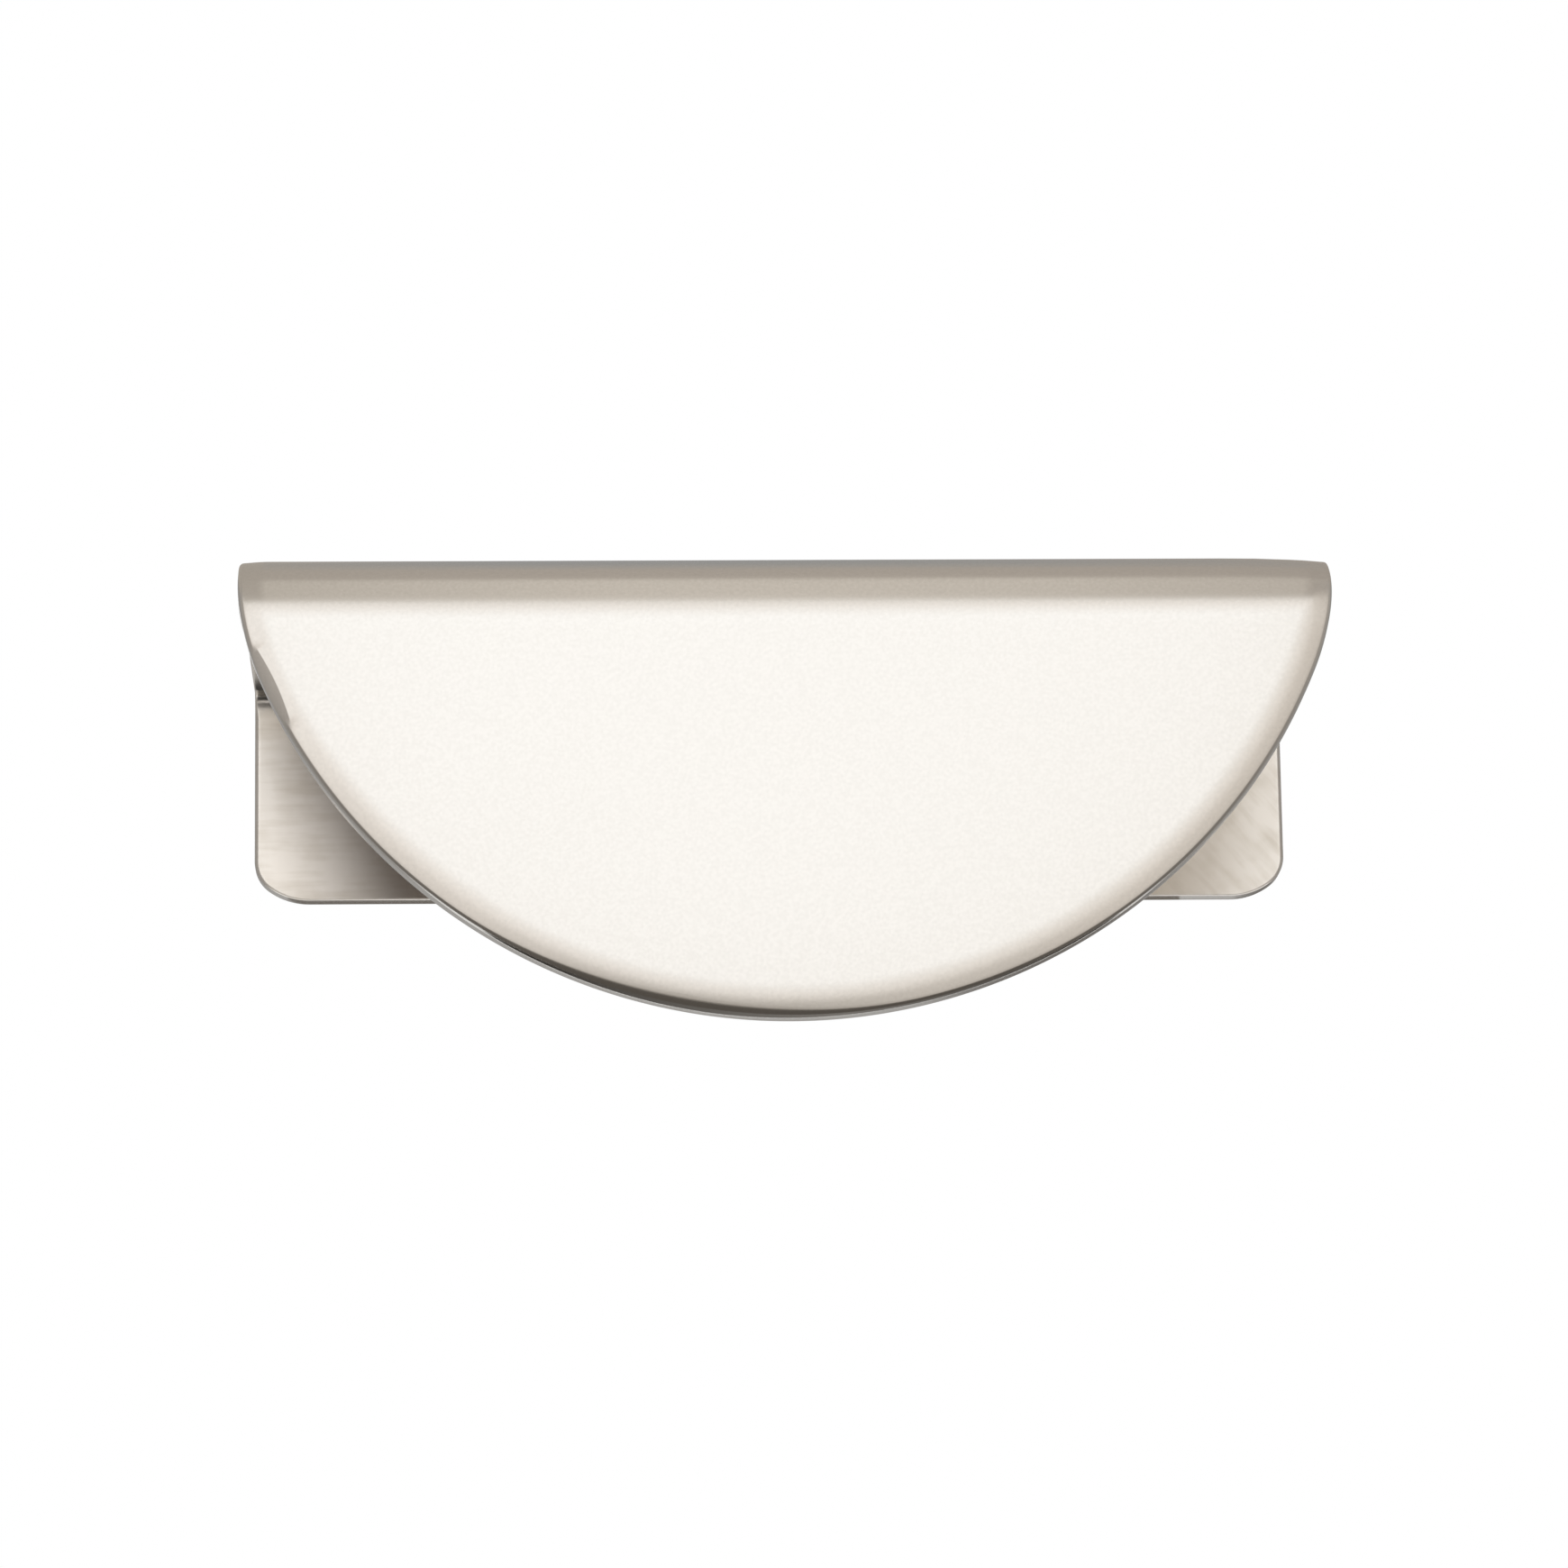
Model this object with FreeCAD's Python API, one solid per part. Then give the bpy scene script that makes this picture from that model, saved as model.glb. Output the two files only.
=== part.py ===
# Half-moon tab pull, folded from one piece of sheet metal.
#
# The sheet makes three faces. The tab hangs in front and is a half moon. The web runs back
# from the tab's straight top, over the edge of the door or drawer front. The flange turns down
# behind that front, where two countersunk screws hold it.
#
# Frame, in millimetres: X along the width, -Y towards the room, +Z up. The origin is midway
# between the two screw holes, on the face of the flange that seats against the panel's back.

import FreeCAD, Part
import math
import os

Vector = FreeCAD.Vector

# The sheet and the pull as a whole
sheet_thickness = 2.0
pull_width = 76.2
pull_depth = 38.1

# The half-moon tab in front
tab_height = 33.7
shoulder_radius = 18.9
least_flattening = 1.0
front_bend_radius = 6.0

# The flange behind
flange_height = 17.5
flange_corner_radius = 5.0
flange_corner_reach = 4.0
flange_side_round = 2.5
rear_bend_radius = 2.6

# The polished border of the outer face: a shallow slope, blended in, then a small round
crown_width = 1.6
crown_depth = 0.2
crown_blend_radius = 12.0
outer_edge_round = 0.4
inner_edge_round = 0.2

# The screw holes, countersunk from behind
screw_spacing = 50.8
screw_line_height = 7.5
hole_diameter = 4.0
countersink_diameter = 7.0
countersink_angle = 90.0

# Places that follow from the sizes
half_width = pull_width / 2
flange_front = 0.0
flange_back = flange_front + sheet_thickness
tab_front = flange_back - pull_depth
flange_bottom = -screw_line_height
web_top = flange_bottom + flange_height
web_underside = web_top - sheet_thickness
tab_bottom = web_top - tab_height
front_bend_y = tab_front + front_bend_radius
front_bend_z = web_top - front_bend_radius
rear_bend_y = flange_back - rear_bend_radius
rear_bend_z = web_top - rear_bend_radius
corner_x = half_width - flange_corner_reach
corner_z = flange_bottom + flange_corner_radius
flange_side_bottom = corner_z - math.sqrt(flange_corner_radius ** 2 - flange_corner_reach ** 2)

# How near an edge's points must lie to a surface to count as lying on it
touching = 0.002


def bend_arc(centre_y, centre_z, radius, first_angle, last_angle):
    """A fold's arc in the side view, with 0 degrees towards +Y and 90 towards +Z."""
    points = []
    for angle in (first_angle, (first_angle + last_angle) / 2, last_angle):
        turn = math.radians(angle)
        points.append(Vector(0, centre_y + radius * math.cos(turn), centre_z + radius * math.sin(turn)))
    return Part.Arc(*points).toShape()


def folded_sheet():
    """The two folds in the side view, one constant wall, pushed out to the full width."""
    outer_front = bend_arc(front_bend_y, front_bend_z, front_bend_radius, 180, 90)
    outer_rear = bend_arc(rear_bend_y, rear_bend_z, rear_bend_radius, 90, 0)
    inner_rear = bend_arc(rear_bend_y, rear_bend_z, rear_bend_radius - sheet_thickness, 0, 90)
    inner_front = bend_arc(front_bend_y, front_bend_z, front_bend_radius - sheet_thickness, 90, 180)

    feet = [
        Vector(0, flange_back, flange_bottom),
        Vector(0, flange_front, flange_bottom),
        Vector(0, tab_front + sheet_thickness, tab_bottom),
        Vector(0, tab_front, tab_bottom),
    ]

    def start(edge):
        return edge.valueAt(edge.FirstParameter)

    def end(edge):
        return edge.valueAt(edge.LastParameter)

    profile = Part.Wire([
        outer_front,
        Part.makeLine(end(outer_front), start(outer_rear)),
        outer_rear,
        Part.makeLine(end(outer_rear), feet[0]),
        Part.makeLine(feet[0], feet[1]),
        Part.makeLine(feet[1], start(inner_rear)),
        inner_rear,
        Part.makeLine(end(inner_rear), start(inner_front)),
        inner_front,
        Part.makeLine(end(inner_front), feet[2]),
        Part.makeLine(feet[2], feet[3]),
        Part.makeLine(feet[3], start(outer_front)),
    ])
    wall = Part.Face(profile)
    wall.translate(Vector(-half_width, 0, 0))
    return wall.extrude(Vector(pull_width, 0, 0))


def mirrored(point):
    return Vector(-point.x, point.y, point.z)


def half_moon_outline():
    """The tab from the front: one large arc, a shoulder arc each side, then upright sides."""
    # The curve starts level with the web's underside. On a pull too narrow for that it starts
    # lower, just short of a half circle, and the sides run straight down to it.
    half_circle = half_width - least_flattening
    drop = min(web_underside - tab_bottom, half_circle)
    shoulder_x = half_width - shoulder_radius
    shoulder_z = tab_bottom + drop

    # The large arc touches the lowest point and runs smoothly into both shoulder arcs
    spread = shoulder_x ** 2 + drop ** 2 - shoulder_radius ** 2
    rim_radius = spread / (2 * (drop - shoulder_radius))
    rim_centre_z = tab_bottom + rim_radius
    lean = math.atan2(shoulder_z - rim_centre_z, shoulder_x)

    foot = Vector(0, tab_front, tab_bottom)
    join = Vector(
        rim_radius * math.cos(lean),
        tab_front,
        rim_centre_z + rim_radius * math.sin(lean),
    )
    shoulder = Vector(
        shoulder_x + shoulder_radius * math.cos(lean / 2),
        tab_front,
        shoulder_z + shoulder_radius * math.sin(lean / 2),
    )
    upright = Vector(half_width, tab_front, shoulder_z)
    corner = Vector(half_width, tab_front, web_top)

    return Part.Wire([
        Part.Arc(mirrored(join), foot, join).toShape(),
        Part.Arc(join, shoulder, upright).toShape(),
        Part.makeLine(upright, corner),
        Part.makeLine(corner, mirrored(corner)),
        Part.makeLine(mirrored(corner), mirrored(upright)),
        Part.Arc(mirrored(upright), mirrored(shoulder), mirrored(join)).toShape(),
    ])


def flange_outline():
    """The web and flange from the front: square above, an arc across each lower corner."""
    lean = math.atan2(flange_side_bottom - corner_z, flange_corner_reach)
    halfway = (lean - math.pi / 2) / 2
    top = Vector(half_width, front_bend_y, web_top)
    side = Vector(half_width, front_bend_y, flange_side_bottom)
    foot = Vector(corner_x, front_bend_y, flange_bottom)
    middle = Vector(
        corner_x + flange_corner_radius * math.cos(halfway),
        front_bend_y,
        corner_z + flange_corner_radius * math.sin(halfway),
    )
    return Part.Wire([
        Part.makeLine(mirrored(top), top),
        Part.makeLine(top, side),
        Part.Arc(side, middle, foot).toShape(),
        Part.makeLine(foot, mirrored(foot)),
        Part.Arc(mirrored(foot), mirrored(middle), mirrored(side)).toShape(),
        Part.makeLine(mirrored(side), mirrored(top)),
    ])


def trimmed_to_outline(sheet):
    """Trims the sheet to the half moon in front of the web, and to the flange's outline behind."""
    front_zone = Part.Face(half_moon_outline()).extrude(Vector(0, front_bend_radius, 0))
    rear_zone = Part.Face(flange_outline()).extrude(Vector(0, flange_back - front_bend_y, 0))
    return sheet.common(front_zone.fuse(rear_zone)).removeSplitter().Solids[0]


def depth_in_sheet(point):
    """How far a point lies below the outer face, which runs over the tab, web and flange."""
    if point.y < front_bend_y and point.z > front_bend_z:
        return front_bend_radius - math.hypot(point.y - front_bend_y, point.z - front_bend_z)
    if point.y > rear_bend_y and point.z > rear_bend_z:
        return rear_bend_radius - math.hypot(point.y - rear_bend_y, point.z - rear_bend_z)
    if point.z > rear_bend_z:
        return web_top - point.z
    if point.y < front_bend_y:
        return point.y - tab_front
    return flange_back - point.y


def points_along(edge):
    """An edge's ends and its middle."""
    middle = edge.valueAt((edge.FirstParameter + edge.LastParameter) / 2)
    return [vertex.Point for vertex in edge.Vertexes] + [middle]


def border_edges(shape, depth):
    """The edges that run round the sheet's border at one depth below its outer face."""
    found = []
    for edge in shape.Edges:
        points = points_along(edge)
        at_depth = all(abs(depth_in_sheet(point) - depth) < touching for point in points)
        crosses_fold = abs(points[-1].x) < touching and points[-1].z > front_bend_z - touching
        if at_depth and not crosses_fold:
            found.append(edge)
    return found


def flange_side_corners(shape):
    """The two edges through the sheet where the flange's corner arcs meet its sides."""
    found = []
    for edge in shape.Edges:
        points = points_along(edge)
        at_side = all(abs(abs(point.x) - half_width) < touching for point in points)
        at_arc = all(abs(point.z - flange_side_bottom) < touching for point in points)
        if at_side and at_arc:
            found.append(edge)
    return found


def with_polished_border(pull):
    """Slopes and rounds the outer face's border, and breaks the inner face's sharp edge."""
    pull = pull.makeChamfer(crown_depth, crown_width, border_edges(pull, 0))
    pull = pull.makeFillet(crown_blend_radius, border_edges(pull, 0))
    pull = pull.makeFillet(outer_edge_round, border_edges(pull, crown_depth))
    return pull.makeFillet(inner_edge_round, border_edges(pull, sheet_thickness))


def screw_hole(centre_x):
    """One hole through the flange with its countersink open to the back."""
    bore_radius = hole_diameter / 2
    mouth_radius = countersink_diameter / 2
    countersink_depth = (mouth_radius - bore_radius) / math.tan(math.radians(countersink_angle / 2))
    along = Vector(0, 1, 0)
    bore = Part.makeCylinder(bore_radius, sheet_thickness, Vector(centre_x, flange_front, 0), along)
    cone_start = Vector(centre_x, flange_back - countersink_depth, 0)
    cone = Part.makeCone(bore_radius, mouth_radius, countersink_depth, cone_start, along)
    return bore.fuse(cone)


pull = trimmed_to_outline(folded_sheet())
pull = pull.makeFillet(flange_side_round, flange_side_corners(pull))
pull = with_polished_border(pull)
for side in (-1, 1):
    pull = pull.cut(screw_hole(side * screw_spacing / 2))

os.makedirs("parts", exist_ok=True)
pull.Solids[0].exportStep("parts/tab_pull.step")
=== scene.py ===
import math

import bmesh
import bpy
from mathutils import Matrix, Vector


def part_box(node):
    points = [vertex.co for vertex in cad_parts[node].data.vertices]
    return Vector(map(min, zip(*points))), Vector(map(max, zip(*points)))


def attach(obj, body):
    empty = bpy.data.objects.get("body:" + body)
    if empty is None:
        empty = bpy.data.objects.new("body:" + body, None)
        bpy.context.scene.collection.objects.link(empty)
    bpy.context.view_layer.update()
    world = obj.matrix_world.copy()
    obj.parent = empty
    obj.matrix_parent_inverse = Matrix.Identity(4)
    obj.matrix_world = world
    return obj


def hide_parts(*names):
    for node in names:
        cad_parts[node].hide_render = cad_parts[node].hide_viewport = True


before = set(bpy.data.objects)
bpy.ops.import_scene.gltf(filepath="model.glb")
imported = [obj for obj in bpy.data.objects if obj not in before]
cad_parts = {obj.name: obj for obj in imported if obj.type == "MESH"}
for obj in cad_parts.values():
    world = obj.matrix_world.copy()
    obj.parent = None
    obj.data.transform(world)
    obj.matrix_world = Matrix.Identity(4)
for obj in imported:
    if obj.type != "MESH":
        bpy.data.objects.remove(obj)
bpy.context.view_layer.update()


# The sheet. The pull is one piece of 2 mm sheet metal, punched out flat. Its outer face is
# polished until the border rolls off, and the two screw holes are made later, after folding.
# It is drawn flat here, outer face up, in metres: x across, y along from the tab's foot.

lowest, highest = (Vector(corner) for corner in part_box("tab_pull"))
sheet_thickness = 0.002
half_width = (highest.x - lowest.x) / 2
tab_height = highest.z - lowest.z
shoulder_radius = 0.0189
front_bend_radius = 0.006
rear_bend_radius = 0.0026
flange_height = 0.0175
flange_corner_radius = 0.005
flange_corner_reach = 0.004
flange_side_round = 0.0025

quarter_turn = math.pi / 2
tab_length = tab_height - front_bend_radius
web_start = tab_length + front_bend_radius * quarter_turn
web_length = highest.y - lowest.y - front_bend_radius - rear_bend_radius
rear_bend_start = web_start + web_length
flange_start = rear_bend_start + rear_bend_radius * quarter_turn
flange_length = flange_height - rear_bend_radius
sheet_length = flange_start + flange_length

# The half moon seen from the front: a large arc runs into a shoulder arc, which ends upright
# level with the web's underside
curve_height = tab_height - sheet_thickness
shoulder_x = half_width - shoulder_radius
spread = shoulder_x ** 2 + curve_height ** 2 - shoulder_radius ** 2
rim_radius = spread / (2 * (curve_height - shoulder_radius))
join_angle = math.atan2(curve_height - rim_radius, shoulder_x)
bend_angle = math.asin((tab_length - curve_height) / shoulder_radius)

# How many steps the outline takes along each stretch
rim_steps = 110
shoulder_steps = 12
front_bend_steps = 48
web_steps = 24
rear_bend_steps = 24
flange_side_steps = 10
side_round_steps = 12
corner_steps = 10
columns = 28


def between(first, last, steps):
    """The places after the first, evenly spaced up to the last."""
    return [first + (last - first) * step / steps for step in range(1, steps + 1)]


def on_arc(centre_x, centre_y, radius, angle):
    """A place on an arc of the outline and the direction from it into the sheet."""
    outward = Vector((math.cos(angle), math.sin(angle)))
    return Vector((centre_x, centre_y)) + outward * radius, -outward


def on_front_bend(turn):
    """A place on the right edge round the front bend, where the shoulder arc ends."""
    height = tab_length + front_bend_radius * math.sin(turn)
    below = max(curve_height - height, 0)
    reach = math.sqrt(shoulder_radius ** 2 - below ** 2)
    slant = below / reach * math.cos(turn)
    place = Vector((shoulder_x + reach, tab_length + front_bend_radius * turn))
    return place, Vector((-1, slant)).normalized()


def on_side(along):
    """A place on the straight right edge."""
    return Vector((half_width, along)), Vector((-1, 0))


# At the flange's lower corners a small arc leaves the side and runs into a larger one
corner_x = half_width - flange_corner_reach
corner_y = sheet_length - flange_corner_radius
round_x = half_width - flange_side_round
round_rise = math.sqrt((flange_corner_radius - flange_side_round) ** 2 - (round_x - corner_x) ** 2)
round_y = corner_y + round_rise
round_end = math.atan2(round_rise, round_x - corner_x)

right_edge = [on_arc(0, rim_radius, rim_radius, -quarter_turn)]
right_edge += [
    on_arc(0, rim_radius, rim_radius, angle) for angle in between(-quarter_turn, join_angle, rim_steps)
]
right_edge += [
    on_arc(shoulder_x, curve_height, shoulder_radius, angle)
    for angle in between(join_angle, bend_angle, shoulder_steps)
]
right_edge += [on_front_bend(turn) for turn in between(0, quarter_turn, front_bend_steps)]
right_edge += [on_side(along) for along in between(web_start, rear_bend_start, web_steps)]
right_edge += [on_side(along) for along in between(rear_bend_start, flange_start, rear_bend_steps)]
right_edge += [on_side(along) for along in between(flange_start, round_y, flange_side_steps)]
right_edge += [
    on_arc(round_x, round_y, flange_side_round, angle)
    for angle in between(0, round_end, side_round_steps)
]
right_edge += [
    on_arc(corner_x, corner_y, flange_corner_radius, angle)
    for angle in between(round_end, quarter_turn, corner_steps)
]
foot_edge = [
    (Vector((x, sheet_length)), Vector((0, -1))) for x in between(corner_x, -corner_x, columns)[:-1]
]
left_edge = [
    (Vector((-place.x, place.y)), Vector((-inward.x, inward.y)))
    for place, inward in reversed(right_edge[1:])
]
outline = right_edge + foot_edge + left_edge

# The border's section: a shallow slope blended into the outer face, then a small round
crown_width = 0.0016
crown_depth = 0.0002
crown_blend_radius = 0.012
outer_edge_round = 0.00035
inner_edge_round = 0.0002
level_margin = 0.0001
face_margin = crown_width + crown_blend_radius * math.atan2(crown_depth, crown_width) / 2 + level_margin
blend_steps = 10
edge_steps = 14
inner_steps = 10

# Polishing by hand leaves the border uneven. It is rounder at the tab's foot and keener at both
# upper corners, and one small flat is left on the left shoulder, with a crisp inner edge. The
# inner edge is worn at the flange's sides and keen at its foot.
foot_rounder = 0.00042
foot_centre = -0.0075
foot_reach = 0.0165
left_corner_along = 0.027
left_corner_reach = 0.018
left_corner_keenness = 0.6
right_corner_along = 0.037
right_corner_reach = 0.0115
right_corner_keenness = 0.9
right_corner_sharper = 0.0002
flat_centre = 0.0233
flat_reach = 0.0043
flat_width = 0.00085
flat_slope = 0.27
flange_side_wear = 0.00014
flange_foot_keener = 0.0001


def border_arc(centre_inset, centre_depth, radius, first, last, steps):
    """Part of the border's section, as inset and depth, by the tilt of its surface."""
    return [
        (centre_inset - radius * math.sin(tilt), centre_depth - radius * math.cos(tilt))
        for tilt in [first] + between(first, last, steps)
    ]


def swell(value, centre, reach):
    """A smooth rise to 1 about a centre."""
    return max(0, 1 - ((value - centre) / reach) ** 2) ** 2


def border_section(place, inward):
    """The border's section from the level outer face round the edge to the level inner face."""
    left = place.x < 0
    edge_round = outer_edge_round
    if place.y < tab_length:
        edge_round += foot_rounder * swell(place.x, foot_centre, foot_reach)
    if left:
        keenness = left_corner_keenness * swell(place.y, left_corner_along, left_corner_reach)
    else:
        corner = swell(place.y, right_corner_along, right_corner_reach)
        keenness = right_corner_keenness * corner
        edge_round -= right_corner_sharper * corner
    depth_here = crown_depth * (1 - keenness)
    slope = math.atan2(depth_here, crown_width)
    blend_start = crown_width + crown_blend_radius * math.tan(slope / 2)
    edge_centre = depth_here * (1 - edge_round / crown_width) + edge_round / math.cos(slope)
    crease = edge_round + level_margin
    edge = border_arc(edge_round, edge_centre, edge_round, slope, quarter_turn, edge_steps)
    flat_inset = flat_width * (1 - ((place.y - flat_centre) / flat_reach) ** 2)
    if left and flat_inset > crease:
        crease = flat_inset
        start_depth = depth_here * (1 - crease / crown_width)
        edge = [
            (inset, max(depth, start_depth + flat_slope * (crease - inset)))
            for inset, depth in edge
        ]
    inner_round = inner_edge_round
    if place.y > flange_start:
        uneven = flange_side_wear * abs(inward.x) - flange_foot_keener * abs(inward.y)
        inner_round += uneven * min(1, (place.y - flange_start) / edge_round)
    inner_centre = sheet_thickness - inner_round
    return [
        (face_margin, 0),
        *border_arc(blend_start, crown_blend_radius, crown_blend_radius, 0, slope, blend_steps),
        (crease, depth_here * (1 - crease / crown_width)),
        *edge,
        *border_arc(inner_round, inner_centre, inner_round, quarter_turn, math.pi, inner_steps),
        (inner_round + level_margin, sheet_thickness),
        (face_margin, sheet_thickness),
    ]


# Each point keeps its depth in the sheet, from 0 on the outer face to 1 on the inner face, for
# the finish to read
blank = bmesh.new()
depth_attribute = "depth_in_sheet"
depth_layer = blank.verts.layers.float.new(depth_attribute)
sag_depth = 0.0003
sag_reach = 0.007


def point(place, depth):
    """A point of the sheet, which sags a little at the upper right corner."""
    across = max(0, (place.x - half_width) / sag_reach + 1)
    sag = sag_depth * across ** 2 * swell(place.y, web_start, sag_reach)
    vert = blank.verts.new((place.x, place.y, -depth - sag))
    vert[depth_layer] = depth / sheet_thickness
    return vert


sections = [border_section(place, inward) for place, inward in outline]
rings = [
    [
        point(place + inward * inset, depth)
        for (place, inward), (inset, depth) in zip(outline, ring)
    ]
    for ring in zip(*sections)
]
for outer_ring, inner_ring in zip(rings, rings[1:]):
    for index in range(len(outline)):
        after = (index + 1) % len(outline)
        blank.faces.new((outer_ring[index], inner_ring[index], inner_ring[after], outer_ring[after]))


def level_face(ring, depth):
    """Rows of faces straight across the sheet, inside one ring of its border."""
    last = len(right_edge) - 1
    rows = [[ring[0]] * (columns + 1)]
    for index in range(1, last + 1):
        right = ring[index]
        left = ring[-index]
        row = [right]
        for share in between(0, 1, columns)[:-1]:
            if index == last:
                row.append(ring[last + len(row)])
            else:
                row.append(point(right.co.xy.lerp(left.co.xy, share), depth))
        rows.append(row + [left])
    for row, next_row in zip(rows, rows[1:]):
        for here in range(columns):
            corners = (row[here], next_row[here], next_row[here + 1], row[here + 1])
            blank.faces.new(list(dict.fromkeys(corners)))


level_face(rings[0], 0)
level_face(rings[-1], sheet_thickness)
bmesh.ops.recalc_face_normals(blank, faces=blank.faces)
blank_mesh = bpy.data.meshes.new("blank")
blank.to_mesh(blank_mesh)
blank.free()


# The nickel finish. Satin nickel plate over the polished sheet: a very fine even grain on the
# outer face, and a duller inner face that keeps the marks of the sheet, which run straight across
# on the left and at a slant on the right.

nickel_colour = (0.885, 0.862, 0.822, 1)
grained_colour = (0.855, 0.832, 0.792, 1)
inner_colour = (0.96, 0.91, 0.84, 1)
worn_colour = (0.80, 0.74, 0.65, 1)

grain_scale = 4200
cloud_scale = 90
mottle_scale = 330
scratch_scale = 1500
scratch_stretch = (1, 1, 7)
scratch_turn = math.radians(-40)
streak_scale = 1900
streak_stretch = (12, 1, 1)

grain_from = 0.35
grain_contrast = 3.3
marks_in_wear = 0.8
wear_from = 0.82
wear_contrast = 2.2

plate_roughness = 0.2
grain_roughness = 0.06
cloud_roughness = 0.03
inner_roughness = 0.1
wear_roughness = 0.06

relief_height = 0.000006
grain_relief = 0.25
mottle_relief = 0.6
marks_relief = 0.45

inner_fade = (0.9, 0.95)
noise_middle = 0.5


class Wire:
    """A node's output that takes part in expressions, where each operator adds a Math node."""

    def __init__(self, socket):
        self.socket = socket
        self.tree = socket.id_data

    def __getitem__(self, name):
        return Wire(self.socket.node.outputs[name])

    def math(self, operation, *others):
        return add_node(self.tree, "ShaderNodeMath", {"operation": operation}, [self, *others])

    def __add__(self, other):
        return self.math("ADD", other)

    def __radd__(self, other):
        return self.math("ADD", other)

    def __sub__(self, other):
        return self.math("SUBTRACT", other)

    def __rsub__(self, other):
        return self.math("MULTIPLY", -1).math("ADD", other)

    def __mul__(self, other):
        return self.math("MULTIPLY", other)

    def __rmul__(self, other):
        return self.math("MULTIPLY", other)

    def __truediv__(self, other):
        return self.math("DIVIDE", other)

    def clamped(self, low, high):
        return self.math("MAXIMUM", low).math("MINIMUM", high)


def add_node(tree, kind, settings=None, inputs=None):
    """Adds a node: its settings first, then the values or wires of its sockets."""
    node = tree.nodes.new(kind)
    for name, value in (settings or {}).items():
        setattr(node, name, value)
    pairs = inputs.items() if isinstance(inputs, dict) else enumerate(inputs or [])
    for name, value in pairs:
        if isinstance(value, Wire):
            tree.links.new(value.socket, node.inputs[name])
        else:
            node.inputs[name].default_value = value
    return Wire(node.outputs[0]) if node.outputs else node


def ramp(value, start, end):
    """How far a value has gone from a start to an end, as a share."""
    return (value - start) / (end - start)


def blended(share, first, second):
    """Goes from one colour to another as the share goes from 0 to 1."""
    inputs = {"Factor": share.clamped(0, 1), "A": first, "B": second}
    return add_node(share.tree, "ShaderNodeMix", {"data_type": "RGBA"}, inputs)["Result"]


nickel = bpy.data.materials.new("satin_nickel")
nickel.use_nodes = True
shade = nickel.node_tree
shade.nodes.clear()

surface_place = add_node(shade, "ShaderNodeTexCoord")["Object"]
depth_share = add_node(shade, "ShaderNodeAttribute", {"attribute_name": depth_attribute})["Fac"]
inner_side = ramp(depth_share, *inner_fade).clamped(0, 1)


def noise(scale, detail, stretch=(1, 1, 1), turn=0):
    """Noise over the sheet, stretched and turned in the plane of its faces, from 0 to 1."""
    turned = add_node(
        shade,
        "ShaderNodeMapping",
        {"vector_type": "TEXTURE"},
        {"Vector": surface_place, "Scale": stretch, "Rotation": (0, turn, 0)},
    )
    return add_node(
        shade, "ShaderNodeTexNoise", {}, {"Vector": turned, "Scale": scale, "Detail": detail}
    )


grain = noise(grain_scale, detail=2)
clouds = noise(cloud_scale, detail=3)
mottle = noise(mottle_scale, detail=3)
scratches = noise(scratch_scale, detail=2, stretch=scratch_stretch, turn=scratch_turn)
streaks = noise(streak_scale, detail=2, stretch=streak_stretch)
across_pull = add_node(shade, "ShaderNodeSeparateXYZ", {}, [surface_place])["X"]
rightwards = ramp(across_pull, -half_width, half_width)
marks = scratches * rightwards + streaks * (1 - rightwards)
worn = ((mottle + marks * marks_in_wear - wear_from) * wear_contrast).clamped(0, 1)

outer_tint = blended((grain - grain_from) * grain_contrast, nickel_colour, grained_colour)
tint = blended(inner_side, outer_tint, blended(worn, inner_colour, worn_colour))
roughness = plate_roughness + (grain - noise_middle) * grain_roughness
roughness = roughness + (clouds - noise_middle) * cloud_roughness
roughness = roughness + inner_side * (inner_roughness + worn * wear_roughness)
inner_relief = mottle * mottle_relief + marks * marks_relief
relief = (grain - noise_middle) * grain_relief + inner_side * inner_relief
bump = add_node(
    shade, "ShaderNodeBump", {}, {"Height": relief, "Distance": relief_height, "Strength": 1}
)
surface = add_node(
    shade,
    "ShaderNodeBsdfPrincipled",
    {},
    {"Base Color": tint, "Metallic": 1, "Roughness": roughness, "Normal": bump},
)
add_node(shade, "ShaderNodeOutputMaterial", {}, {"Surface": surface})


# The folds. A press folds the sheet twice the same way, down behind for the flange and down in
# front for the tab. Two screws through the flange, in holes countersunk from behind, hold the
# pull to the back of its panel.

screw_spacing = 0.0508
hole_radius = 0.002
countersink_radius = 0.0035
hole_edges = 96
half_edge = math.pi / hole_edges
overshoot = 0.001
past_flange = 1.5
crease_angle = math.radians(11)

fold = bpy.data.node_groups.new("fold_and_drill", "GeometryNodeTree")
fold.is_modifier = True
fold.interface.new_socket("Geometry", in_out="INPUT", socket_type="NodeSocketGeometry")
fold.interface.new_socket("Geometry", in_out="OUTPUT", socket_type="NodeSocketGeometry")

fold_sizes = {
    "Tab Length": tab_length,
    "Front Bend Radius": front_bend_radius,
    "Web Length": web_length,
    "Rear Bend Radius": rear_bend_radius,
    "Sheet Thickness": sheet_thickness,
    "Tab Front": lowest.y,
    "Tab Bottom": lowest.z,
    "Screw Spacing": screw_spacing,
    "Hole Radius": hole_radius,
    "Countersink Radius": countersink_radius,
}
size_sockets = {
    name: fold.interface.new_socket(name, in_out="INPUT", socket_type="NodeSocketFloat").identifier
    for name in fold_sizes
}
sizes = add_node(fold, "NodeGroupInput")


def position():
    """The place of each point as it stands at that step of the tree."""
    return add_node(fold, "ShaderNodeSeparateXYZ", {}, [add_node(fold, "GeometryNodeInputPosition")])


flat = position()
along = flat["Y"]
depth = flat["Z"] * -1

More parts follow.
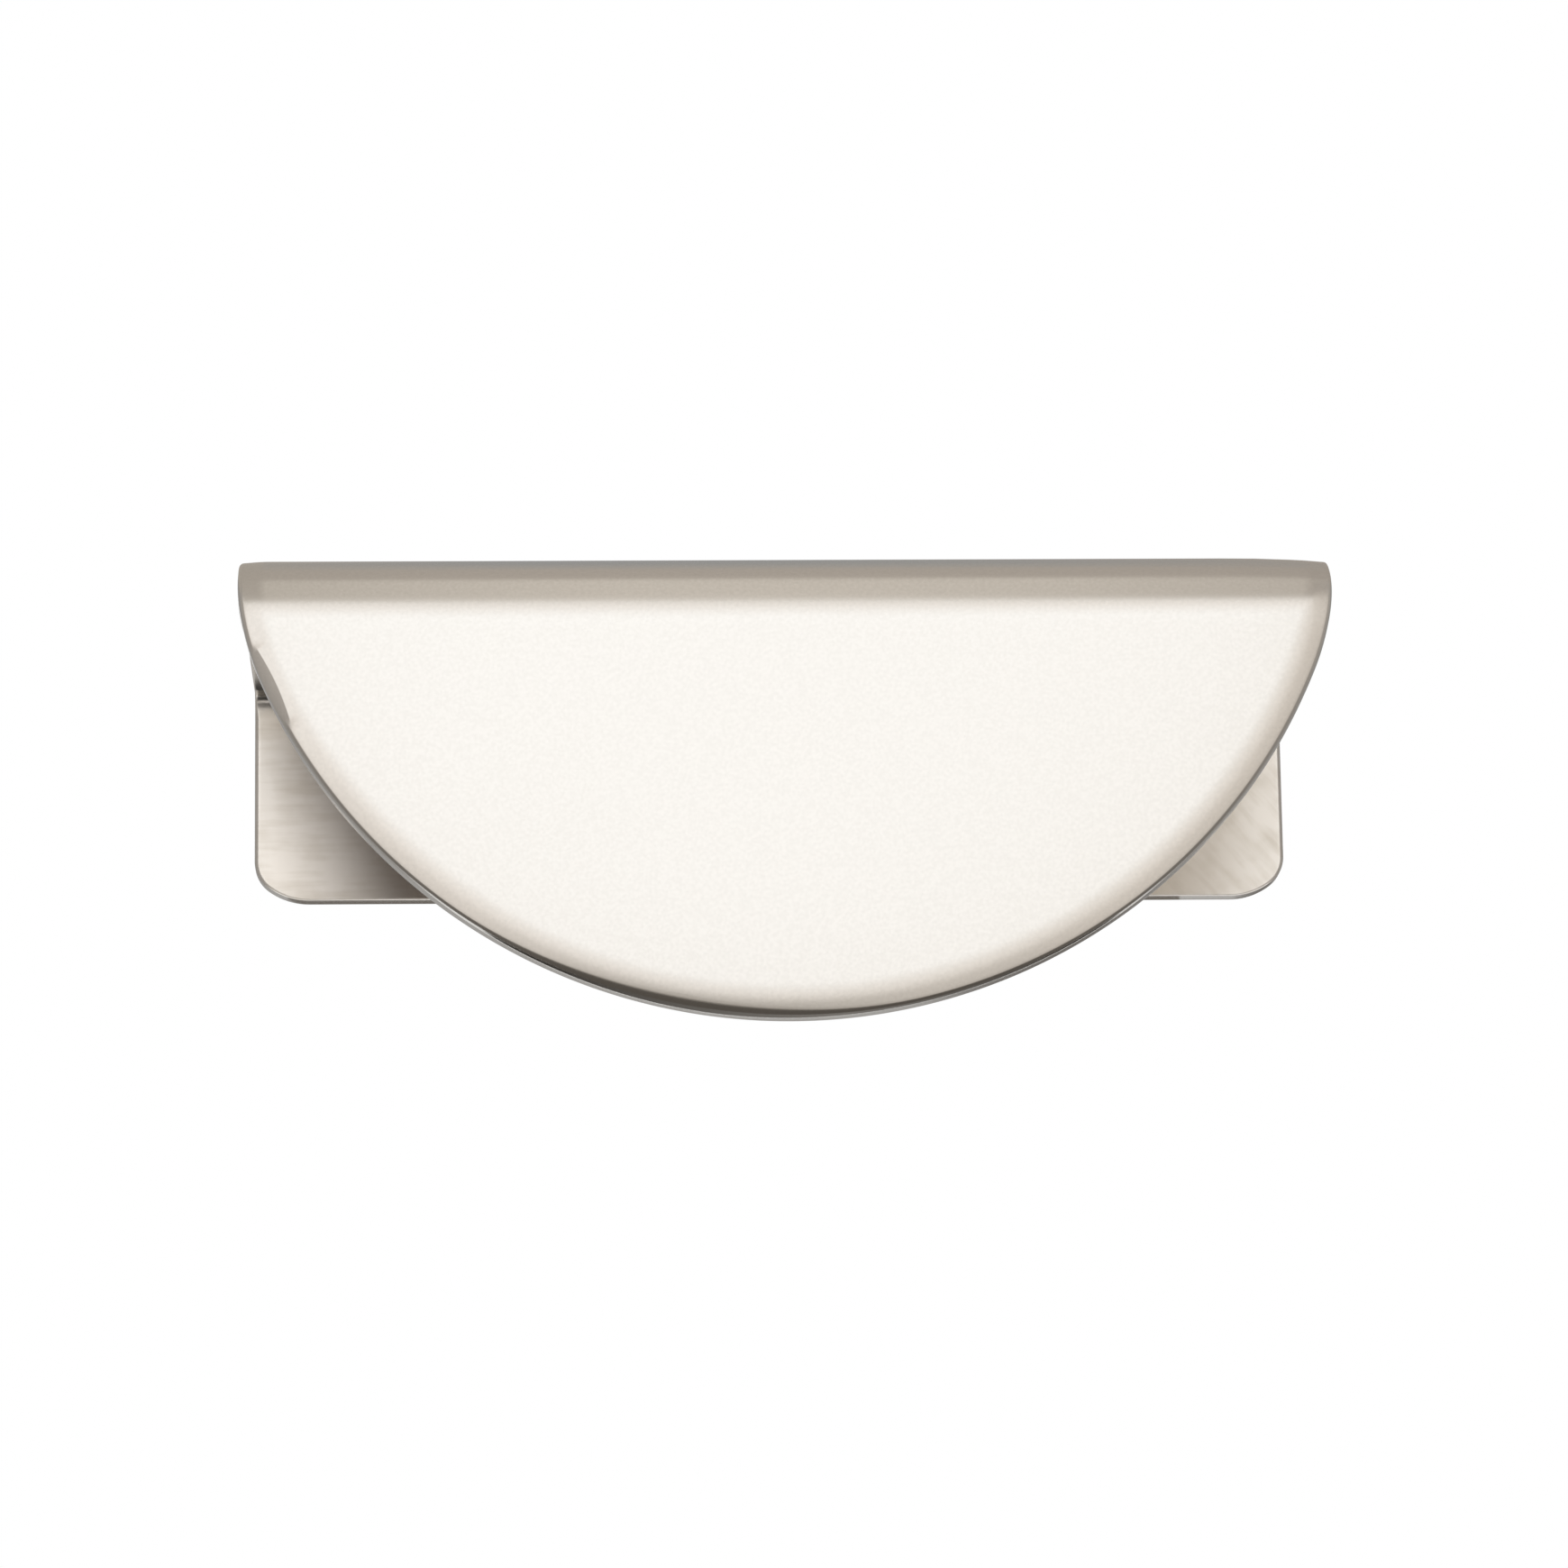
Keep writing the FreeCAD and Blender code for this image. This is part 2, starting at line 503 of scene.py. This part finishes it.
front_radius = sizes["Front Bend Radius"]
rear_radius = sizes["Rear Bend Radius"]
web_from = sizes["Tab Length"] + front_radius * quarter_turn
rear_from = web_from + sizes["Web Length"]
flange_from = rear_from + rear_radius * quarter_turn

front_turn = ((along - sizes["Tab Length"]) / front_radius).clamped(0, quarter_turn)
rear_turn = ((along - rear_from) / rear_radius).clamped(0, quarter_turn)
turn = front_turn + rear_turn
tab_run = along.math("MINIMUM", sizes["Tab Length"])
web_run = (along - web_from).clamped(0, sizes["Web Length"])
flange_run = (along - flange_from).math("MAXIMUM", 0)

back = sizes["Tab Front"] + front_radius * (1 - front_turn.math("COSINE")) + web_run
back = back + rear_radius * rear_turn.math("SINE") + depth * turn.math("COSINE")
up = sizes["Tab Bottom"] + tab_run + front_radius * front_turn.math("SINE")
up = up - rear_radius * (1 - rear_turn.math("COSINE")) - flange_run - depth * turn.math("SINE")

folded_place = add_node(fold, "ShaderNodeCombineXYZ", {}, [flat["X"], back, up])
folded = add_node(
    fold, "GeometryNodeSetPosition", {}, {"Geometry": sizes["Geometry"], "Position": folded_place}
)

# Each hole is a bore and then a 90 degree countersink, cut one after the other
first_screw = add_node(fold, "ShaderNodeCombineXYZ", {}, [sizes["Screw Spacing"] * -0.5, 0, 0])
next_screw = add_node(fold, "ShaderNodeCombineXYZ", {}, [sizes["Screw Spacing"], 0, 0])
screw_line = add_node(
    fold,
    "GeometryNodeMeshLine",
    {"mode": "OFFSET"},
    {"Count": 2, "Start Location": first_screw, "Offset": next_screw},
)


def drilled_by(sheet, drill, turn):
    """Cuts one drill's shape out of the sheet at both screws, pointing along the hole."""
    places = {"Points": screw_line, "Instance": drill, "Rotation": (quarter_turn, turn, 0)}
    drills = add_node(
        fold,
        "GeometryNodeRealizeInstances",
        {},
        [add_node(fold, "GeometryNodeInstanceOnPoints", {}, places)],
    )
    return add_node(
        fold,
        "GeometryNodeMeshBoolean",
        {"operation": "DIFFERENCE", "solver": "EXACT"},
        {"Mesh 1": sheet, "Mesh 2": drills},
    )


bore_length = sizes["Sheet Thickness"] * 3
bore = add_node(
    fold,
    "GeometryNodeMeshCylinder",
    {},
    {"Vertices": hole_edges, "Radius": sizes["Hole Radius"], "Depth": bore_length},
)
sink_mouth = sizes["Countersink Radius"] + overshoot
sink = add_node(
    fold,
    "GeometryNodeMeshCone",
    {},
    {"Vertices": hole_edges, "Radius Top": 0, "Radius Bottom": sink_mouth, "Depth": sink_mouth},
)
sink_shift = add_node(
    fold, "ShaderNodeCombineXYZ", {}, [0, 0, (sizes["Sheet Thickness"] + overshoot) * -1]
)
sunk = add_node(fold, "GeometryNodeTransform", {}, {"Geometry": sink, "Translation": sink_shift})
drilled = drilled_by(drilled_by(folded, bore, 0), sunk, half_edge)

# Round the holes the depth in the sheet is measured again, from the straight flange's back
drilled_place = position()
flange_back = sizes["Tab Front"] + front_radius + sizes["Web Length"] + rear_radius
flange_depth = (flange_back - drilled_place["Y"]) / sizes["Sheet Thickness"]
in_flange = flange_depth.math("LESS_THAN", past_flange)
level_with_holes = drilled_place["Z"].math("ABSOLUTE").math("LESS_THAN", sink_mouth)
measured = add_node(
    fold,
    "GeometryNodeStoreNamedAttribute",
    {"data_type": "FLOAT", "domain": "POINT"},
    {
        "Geometry": drilled,
        "Selection": in_flange * level_with_holes,
        "Name": depth_attribute,
        "Value": flange_depth,
    },
)
whole = add_node(fold, "GeometryNodeRealizeInstances", {}, [measured])
plated = add_node(fold, "GeometryNodeSetMaterial", {}, {"Geometry": whole, "Material": nickel})
add_node(fold, "NodeGroupOutput", {}, [plated])

press = bpy.data.objects.new("press", blank_mesh)
bpy.context.scene.collection.objects.link(press)
folding = press.modifiers.new("fold", "NODES")
folding.node_group = fold
for name, identifier in size_sockets.items():
    folding[identifier] = fold_sizes[name]
pressed = press.evaluated_get(bpy.context.evaluated_depsgraph_get())
pull_mesh = bpy.data.meshes.new_from_object(pressed)
press.modifiers.remove(folding)
bpy.data.objects.remove(press)

pull_mesh.name = "half_moon_pull"
pull_mesh.shade_smooth()
pull_mesh.set_sharp_from_angle(angle=crease_angle)
pull = bpy.data.objects.new("half_moon_pull", pull_mesh)
bpy.context.scene.collection.objects.link(pull)
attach(pull, "root")
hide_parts("tab_pull")


# The studio. A pale floor well below the pull, white all round, one large soft lamp in front,
# and cards that only the metal's reflections see, which draw its bands and dark lines. Bare
# metal shows little but what stands round it.

floor_height = -0.3
floor_reach = 3
floor_colour = (0.8, 0.8, 0.8, 1)


def level(first, last, height):
    """The corners of a level rectangle between two places on the floor."""
    places = [first, (last[0], first[1]), last, (first[0], last[1])]
    return [(*place, height) for place in places]


def upright(first, last, low, high):
    """The corners of an upright rectangle over the line between two places on the floor."""
    return [(*first, low), (*last, low), (*last, high), (*first, high)]


def stage_piece(name, points, faces):
    """A piece of the studio with an empty material."""
    mesh = bpy.data.meshes.new(name)
    mesh.from_pydata(points, [], faces)
    material = bpy.data.materials.new(name)
    material.use_nodes = True
    material.node_tree.nodes.clear()
    mesh.materials.append(material)
    piece = bpy.data.objects.new(name, mesh)
    bpy.context.scene.collection.objects.link(piece)
    return piece


floor_corners = level((-floor_reach, -floor_reach), (floor_reach, floor_reach), floor_height)
floor = stage_piece("floor", floor_corners, [(0, 1, 2, 3)])
floor_tree = floor.data.materials[0].node_tree
floor_paint = add_node(floor_tree, "ShaderNodeBsdfDiffuse", {}, {"Color": floor_colour})
add_node(floor_tree, "ShaderNodeOutputMaterial", {}, {"Surface": floor_paint})


def card(name, points, colour, strength=1, clear_in_front=False, faces=((0, 1, 2, 3),)):
    """A card that only reflections see, of one colour or coloured by the place on it."""
    piece = stage_piece(name, points, faces)
    piece.visible_camera = False
    piece.visible_diffuse = False
    piece.visible_shadow = False
    tree = piece.data.materials[0].node_tree
    if callable(colour):
        object_place = add_node(tree, "ShaderNodeTexCoord")["Object"]
        spot = add_node(tree, "ShaderNodeSeparateXYZ", {}, [object_place])
        colour = colour(spot["X"], spot["Y"], spot["Z"])
    glow = add_node(tree, "ShaderNodeEmission", {}, {"Color": colour, "Strength": strength})
    if clear_in_front:
        clear = add_node(tree, "ShaderNodeBsdfTransparent")
        seen_from_behind = add_node(tree, "ShaderNodeNewGeometry")["Backfacing"]
        glow = add_node(tree, "ShaderNodeMixShader", {}, [seen_from_behind, clear, glow])
    add_node(tree, "ShaderNodeOutputMaterial", {}, {"Surface": glow})


# The front bend mirrors the ceiling, from its front end below to its back end along the top line
ceiling_height = 0.6
ceiling_reach = 1.6
ceiling_front = -0.60
ceiling_back = 1.8

front_end_colour = (0.85, 0.82, 0.78, 1)
front_band_colour = (0.63, 0.583, 0.528, 1)
middle_band_colour = (0.42, 0.38, 0.34, 1)
back_band_colour = (0.37, 0.355, 0.335, 1)
back_end_colour = (0.32, 0.32, 0.318, 1)
both_sides_colour = (0.37, 0.335, 0.30, 1)
left_side_colour = (0.40, 0.365, 0.325, 1)

# Where each of them takes over
front_end_fade = (-0.49, -0.59)
front_band_fade = (-0.056, -0.057)
back_band_fade = (0.24, 0.241)
back_end_fade = (0.3, 0.5)
both_sides_fade = (0.06, 0.18)
left_side_fade = (-0.03, -0.09)


def ceiling_colour(x, y, z):
    """Bands from front to back, all duller to both sides."""
    back_part = blended(ramp(y, *back_end_fade), back_band_colour, back_end_colour)
    colour = blended(ramp(y, *back_band_fade), middle_band_colour, back_part)
    colour = blended(ramp(y, *front_band_fade), colour, front_band_colour)
    colour = blended(ramp(x.math("ABSOLUTE"), *both_sides_fade), colour, both_sides_colour)
    colour = blended(ramp(x, *left_side_fade), colour, left_side_colour)
    return blended(ramp(y, *front_end_fade), colour, front_end_colour)


ceiling_corners = level((-ceiling_reach, ceiling_front), (ceiling_reach, ceiling_back), ceiling_height)
card("ceiling", ceiling_corners, ceiling_colour)

# Close to the pull, small dark cards hold painted shade: the dark line under the flange's foot and the
# deep shade in the inner corner at the left. Those in the corner are clear from one side.
foot_shade_grey = (0.12, 0.105, 0.09, 1)
corner_shade_grey = (0.015, 0.015, 0.015, 1)
corner_outside = -0.0385
corner_inside = -0.034
corner_front = -0.0015
corner_bottom = 0.0066
corner_top = 0.0079

card(
    "foot_shade_card",
    upright(first=(-0.0362, 0.0035), last=(0.0306, 0.0035), low=-0.0087, high=-0.0078),
    foot_shade_grey,
)
card(
    "gap_shade_card",
    upright((corner_inside, corner_front), (corner_outside, corner_front), corner_bottom, corner_top),
    corner_shade_grey,
    clear_in_front=True,
)
card(
    "gap_back_shade_card",
    upright(first=(corner_outside, -0.0014), last=(corner_inside, -0.0014), low=0.0074, high=corner_top),
    corner_shade_grey,
    clear_in_front=True,
)
card(
    "gap_floor_shade_card",
    level((corner_inside, corner_front), (corner_outside, -0.00005), corner_bottom),
    corner_shade_grey,
    clear_in_front=True,
)

# Large grey cards in front, behind and to both sides give the cut edges their greys
side_grey = (0.3, 0.29, 0.28, 1)
side_top = 0.3

card(
    "front_low_card",
    level(first=(-1.2, -1.6), last=(1.2, -0.11), height=-0.27),
    (0.42, 0.405, 0.39, 1),
)
card(
    "back_low_card",
    upright(first=(-1.6, 0.9), last=(1.6, 0.9), low=floor_height, high=0.2),
    (0.36, 0.35, 0.34, 1),
)
card(
    "back_right_card",
    upright(first=(0.15, 0.88), last=(0.45, 0.88), low=-0.2, high=0.02),
    (0.14, 0.13, 0.12, 1),
)
for name, side_x in (("left_card", -0.35), ("right_card", 0.38)):
    card(name, upright((side_x, -0.8), (side_x, 0.9), floor_height, side_top), side_grey)

# A card close below the tab's foot holds painted shade that the pull reflects from below. It is darker
# to both sides.
under_middle = 0.004
under_reach = 0.028
under_middle_colour = (0.2, 0.19, 0.18, 1)
under_sides_colour = (0.04, 0.036, 0.032, 1)


def under_shade_colour(x, y, z):
    """Painted shade: mid grey below the middle and nearly black to the sides."""
    sideways = (x - under_middle).math("ABSOLUTE") / under_reach
    return blended(sideways, under_middle_colour, under_sides_colour)


card("under_shade_card", level(first=(-0.032, -0.037), last=(0.038, -0.018), height=-0.032), under_shade_colour)

# A small card between the tab and the flange holds painted shade for the flange to reflect. It darkens
# to the right and upwards, as the space there does.
channel_place = -0.010
lightest_x = -0.03795
lightest_z = -0.0005
darker_rightwards = 121
darker_upwards = 54
open_side_colour = (1, 0.975, 0.955, 1)
deep_shade_colour = (0.035, 0.022, 0.016, 1)


def channel_shade_colour(x, y, z):
    """Painted shade for the channel: nearly white at the open side and dark deep inside."""
    inwards = (x - lightest_x) * darker_rightwards + (z - lightest_z) * darker_upwards
    return blended(inwards, open_side_colour, deep_shade_colour)


card(
    "channel_shade_card",
    upright(first=(-0.038, channel_place), last=(-0.024, channel_place), low=-0.0075, high=0.0075),
    channel_shade_colour,
    clear_in_front=True,
)

# A tapered screen stands in front, following the tab's outline and the mirrored lines of sight.
# It is white far off and darkens towards the tab, so that the polished border fades into it.
viewpoint = Vector((-0.01973, -0.51040, -0.11921))
mirrored_eye = Vector((viewpoint.x, 2 * lowest.y - viewpoint.y, viewpoint.z))
screen_gap = 0.003
screen_reach = 0.12
screen_top = highest.z + 0.012

tab_rim = [(place, -inward) for place, inward in left_edge + right_edge if place.y <= tab_length]
rim_end = Vector((half_width, screen_top - lowest.z))
tab_rim = [(Vector((-rim_end.x, rim_end.y)), Vector((-1, 0)))] + tab_rim + [(rim_end, Vector((1, 0)))]


def screen_ring(reach):
    """The tab's rim moved outwards by the gap, then away along the mirrored lines of sight."""
    spots = [place + outward * screen_gap for place, outward in tab_rim]
    spots = [Vector((spot.x, lowest.y, lowest.z + spot.y)) for spot in spots]
    return [spot + (spot - mirrored_eye).normalized() * reach for spot in spots]


# The screen's colours, nearest to the tab first
near_foot_colour = (0.09, 0.08, 0.07, 1)
near_top_colour = (0.36, 0.335, 0.31, 1)
middle_foot_colour = (0.37, 0.34, 0.305, 1)
middle_left_colour = (0.75, 0.70, 0.655, 1)
middle_right_colour = (0.60, 0.545, 0.49, 1)
far_left_colour = (0.94, 0.895, 0.855, 1)
far_right_colour = (0.85, 0.80, 0.75, 1)
last_left_colour = (1, 0.99, 0.975, 1)
last_right_colour = (0.93, 0.915, 0.89, 1)

# How far off each stretch of it gives way to the next
near_fade = (0.005, 0.012)
middle_fade = (0.013, 0.026)
far_fade = (0.026, 0.106)

# How the colours change upwards, to the right and beside the tab's foot
full_rise = tab_height * 0.9
rise_lost_away = 7
middle_lift = 3
right_lost_away = 0.5
screen_foot_middle = -0.003
beside_foot_fade = (0.004, 0.024)
beside_foot_most = 0.55


def screen_colour(x, y, z):
    """Dark near the tab and darkest below its foot, then lighter and lighter further away."""
    away = lowest.y - y
    rise = ((z - lowest.z) / full_rise - away * rise_lost_away).clamped(0, 1)
    rightwards = (ramp(x, -half_width, half_width) - away * right_lost_away).clamped(0, 1)
    from_foot = (x - screen_foot_middle).math("ABSOLUTE")
    beside_foot = ramp(from_foot, *beside_foot_fade).clamped(0, beside_foot_most)
    near = blended(rise, near_foot_colour, near_top_colour)
    middle = blended(rightwards, middle_left_colour, middle_right_colour)
    middle = blended(rise * middle_lift + beside_foot, middle_foot_colour, middle)
    far = blended(rightwards, far_left_colour, far_right_colour)
    last = blended(rightwards, last_left_colour, last_right_colour)
    colour = blended(ramp(away, *near_fade), near, middle)
    colour = blended(ramp(away, *middle_fade), colour, far)
    return blended(ramp(away, *far_fade), colour, last)


count = len(tab_rim)
card(
    "screen",
    screen_ring(0) + screen_ring(screen_reach),
    screen_colour,
    faces=[(step, step + 1, step + 1 + count, step + count) for step in range(count - 1)],
)

# The face mirrors one more card, far in front, that falls off gently to the right and below, and
# climbs into a duller top
front_place = -0.62
front_strength = 1.12
fall_start = 0.22
fall_height = 0.1
fall_rightwards = 2.2
fall_downwards = 2.0
front_top_fade = (0.28, 0.58)
studio_white = (1, 1, 1, 1)
fallen_colour = (0.92, 0.905, 0.89, 1)
front_top_colour = (0.80, 0.755, 0.715, 1)


def front_colour(x, y, z):
    """White at the left, a little darker to the right and below, and duller at the top."""
    fall = fall_start + x * fall_rightwards - (z - fall_height) * fall_downwards
    colour = blended(fall, studio_white, fallen_colour)
    return blended(ramp(z, *front_top_fade), colour, front_top_colour)


card(
    "front_card",
    upright(first=(-0.30, front_place), last=(0.40, front_place), low=-0.10, high=0.60),
    front_colour,
    strength=front_strength,
)

world = bpy.data.worlds.new("studio")
world.use_nodes = True
world.node_tree.nodes.clear()
sky = add_node(world.node_tree, "ShaderNodeBackground", {}, {"Color": studio_white, "Strength": 1})
add_node(world.node_tree, "ShaderNodeOutputWorld", {}, {"Surface": sky})
bpy.context.scene.world = world

lamp_watts = 0.4
lamp_size = 1.2
lamp_place = Vector((0, -1.4, 0.35))
lamp_data = bpy.data.lights.new("front_lamp", "AREA")
lamp_data.shape = "SQUARE"
lamp_data.size = lamp_size
lamp_data.energy = lamp_watts
lamp = bpy.data.objects.new("front_lamp", lamp_data)
lamp.location = lamp_place
lamp.rotation_euler = (-lamp_place).to_track_quat("-Z", "Y").to_euler()
bpy.context.scene.collection.objects.link(lamp)


# The camera. It stands half a metre in front, a little left and below, and looks up at the pull
# through a long lens, which shows the tab's lower edge and leaves its folded top almost level.

photo_pixels = 1740
focal_pixels = 7851.2
sensor_width = 36
heading = -0.04073
tilt = 0.23135
roll = -0.01418

camera_data = bpy.data.cameras.new("camera")
camera_data.sensor_width = sensor_width
camera_data.lens = focal_pixels / photo_pixels * sensor_width
camera = bpy.data.objects.new("camera", camera_data)
camera.matrix_world = (
    Matrix.Translation(viewpoint)
    @ Matrix.Rotation(heading, 4, "Z")
    @ Matrix.Rotation(quarter_turn + tilt, 4, "X")
    @ Matrix.Rotation(roll, 4, "Z")
)
bpy.context.scene.collection.objects.link(camera)
bpy.context.scene.camera = camera
bpy.context.scene.view_settings.view_transform = "Standard"
